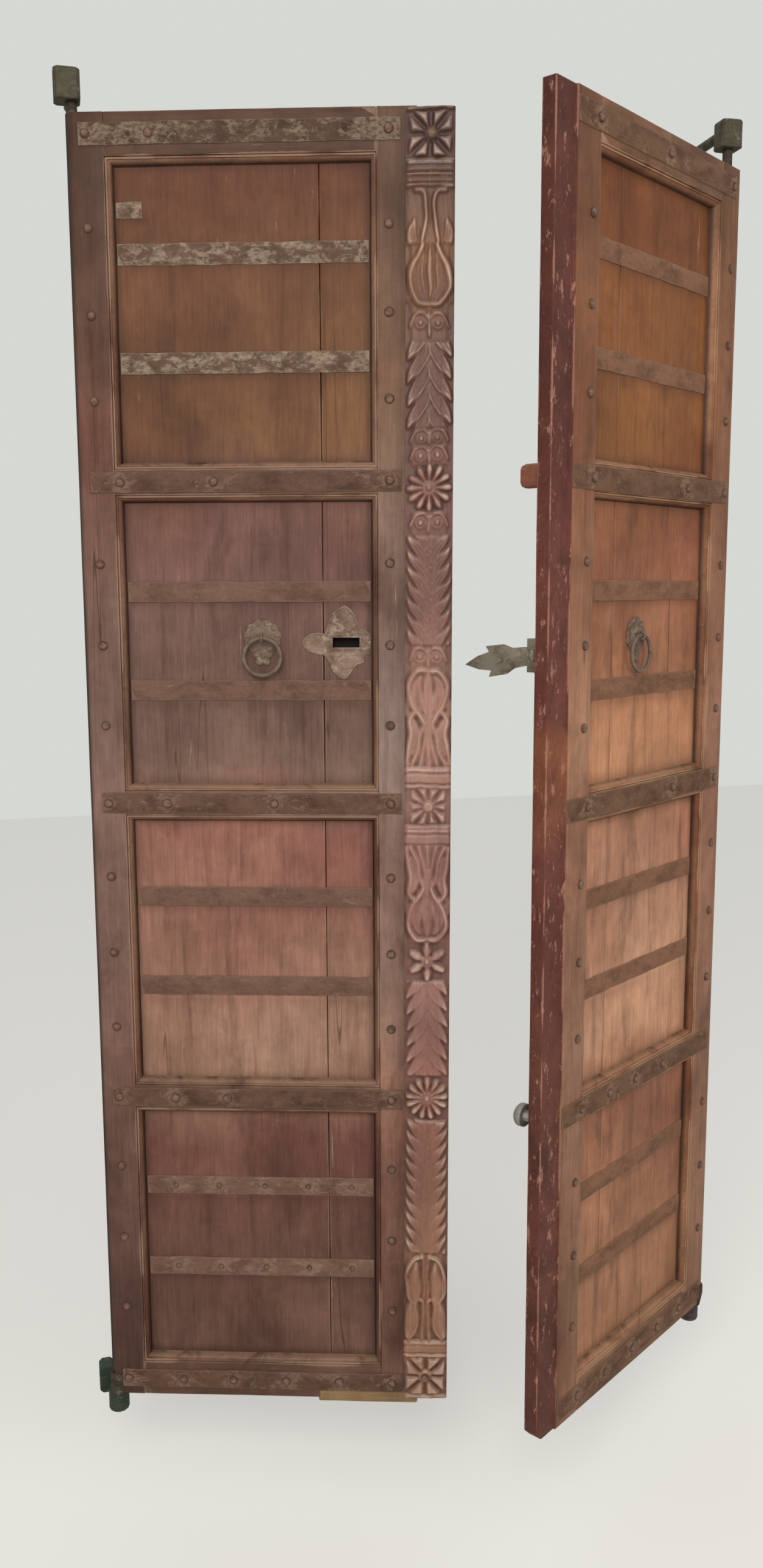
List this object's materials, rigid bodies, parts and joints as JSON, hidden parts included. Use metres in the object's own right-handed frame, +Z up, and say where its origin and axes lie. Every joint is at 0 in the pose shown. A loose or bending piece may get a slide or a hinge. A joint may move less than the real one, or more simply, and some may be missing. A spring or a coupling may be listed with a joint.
{
  "type": "carved double-leaf door",
  "caption": "Pair of old carved wooden door leaves with iron straps and ring pulls, hanging half open on pivots in wall sockets.",
  "frame": {"origin": "middle of the doorway, midway between the two pivot axes and level with the foot of the leaves", "axes": "+Z up along the pivots, +X from the left pivot to the right one as seen from the front, +Y into the wall"},
  "size_m": [1.106, 0.436, 2.124],
  "materials": {
    "carved_wood": "hand carved, weathered",
    "cup_iron": "verdigris and rust",
    "hasp_iron": "worn, with a bright stud",
    "knob_steel": "bright, worn",
    "ledger_wood": "sawn, unfinished",
    "left_frame_wood": "dry weathered teak, reddish brown",
    "left_meeting_wood": "sun-bleached teak, greyish pink",
    "left_moulding_wood": "worn paint",
    "left_panel_wood": "dry weathered teak, dark red",
    "left_strap_iron": "flaking whitewash over dark iron",
    "nail_iron": "hammered, brown with age",
    "panel_strap_iron": "flaking whitewash over dark iron",
    "patch_wood": "pale and dry",
    "peg_wood": "smooth, dark red",
    "pivot_iron": "forged, grey green",
    "plate_brass": "tarnished, flat",
    "right_edge_wood": "worn maroon paint over teak",
    "right_frame_wood": "dry weathered teak, warmer brown",
    "right_moulding_wood": "worn paint",
    "right_panel_wood": "dry weathered teak, orange brown",
    "right_strap_iron": "flaking whitewash over dark iron",
    "ring_iron": "forged, worn smooth",
    "rose_brass": "tarnished",
    "socket_iron": "forged, grey olive"
  },
  "bodies": {
    "wall_sockets": {"left_lower_socket": "cup_iron", "left_upper_socket": "socket_iron", "right_lower_socket": "cup_iron", "right_upper_socket": "socket_iron"},
    "left_leaf": {"left_bottom_rail": "left_frame_wood", "left_bottom_strap": "left_strap_iron", "left_carved_post": "carved_wood", "left_foot_patch": "patch_wood", "left_hinge_stile": "left_frame_wood", "left_ledgers": "ledger_wood", "left_lock_plate": "plate_brass", "left_lower_pivot": "pivot_iron", "left_lower_rail": "left_frame_wood", "left_lower_strap": "left_strap_iron", "left_meeting_stile": "left_meeting_wood", "left_middle_rail": "left_frame_wood", "left_middle_strap": "left_strap_iron", "left_moulding_1": "left_moulding_wood", "left_moulding_2": "left_moulding_wood", "left_moulding_3": "left_moulding_wood", "left_moulding_4": "left_moulding_wood", "left_nails": "nail_iron", "left_narrow_plank": "left_panel_wood", "left_panel_straps": "panel_strap_iron", "left_ring_rose": "rose_brass", "left_top_rail": "left_frame_wood", "left_top_strap": "left_strap_iron", "left_upper_pivot": "pivot_iron", "left_upper_rail": "left_frame_wood", "left_upper_strap": "left_strap_iron", "left_wide_plank": "left_panel_wood"},
    "right_leaf": {"right_back_knob": "knob_steel", "right_back_peg": "peg_wood", "right_bottom_rail": "right_frame_wood", "right_bottom_strap": "right_strap_iron", "right_hasp_base": "hasp_iron", "right_hinge_stile": "right_frame_wood", "right_ledgers": "ledger_wood", "right_lower_pivot": "pivot_iron", "right_lower_rail": "right_frame_wood", "right_lower_strap": "right_strap_iron", "right_meeting_stile": "right_edge_wood", "right_middle_rail": "right_frame_wood", "right_middle_strap": "right_strap_iron", "right_moulding_1": "right_moulding_wood", "right_moulding_2": "right_moulding_wood", "right_moulding_3": "right_moulding_wood", "right_moulding_4": "right_moulding_wood", "right_nails": "nail_iron", "right_panel_straps": "panel_strap_iron", "right_planks": "right_panel_wood", "right_ring_rose": "rose_brass", "right_top_rail": "right_frame_wood", "right_top_strap": "right_strap_iron", "right_upper_pivot": "pivot_iron", "right_upper_rail": "right_frame_wood", "right_upper_strap": "right_strap_iron"},
    "left_ring": {"left_ring": "ring_iron"},
    "right_ring": {"right_ring": "ring_iron"},
    "hasp": {"right_hasp": "hasp_iron"}
  },
  "joints": [
    {"name": "left_leaf_hinge", "type": "hinge", "parent": "wall_sockets", "child": "left_leaf", "pos_m": [-0.5285, 0, 0], "axis": [0, 0, 1], "range_deg": [-148.1, 16.9]},
    {"name": "right_leaf_hinge", "type": "hinge", "parent": "wall_sockets", "child": "right_leaf", "pos_m": [0.5285, 0, 0], "axis": [0, 0, 1], "range_deg": [-34.6, 130.4]},
    {"name": "left_ring_hinge", "type": "hinge", "parent": "left_leaf", "child": "left_ring", "pos_m": [-0.27914, -0.09771, 1.248], "axis": [-0.9568, 0.2907, 0], "range_deg": [-5, 165]},
    {"name": "right_ring_hinge", "type": "hinge", "parent": "right_leaf", "child": "right_ring", "pos_m": [0.31077, -0.17571, 1.248], "axis": [-0.8231, -0.5678, 0], "range_deg": [-5, 165]},
    {"name": "hasp_hinge", "type": "hinge", "parent": "right_leaf", "child": "hasp", "pos_m": [0.0867, -0.28412, 1.225], "axis": [0, 0, 1], "range_deg": [-88, 90]}
  ]
}
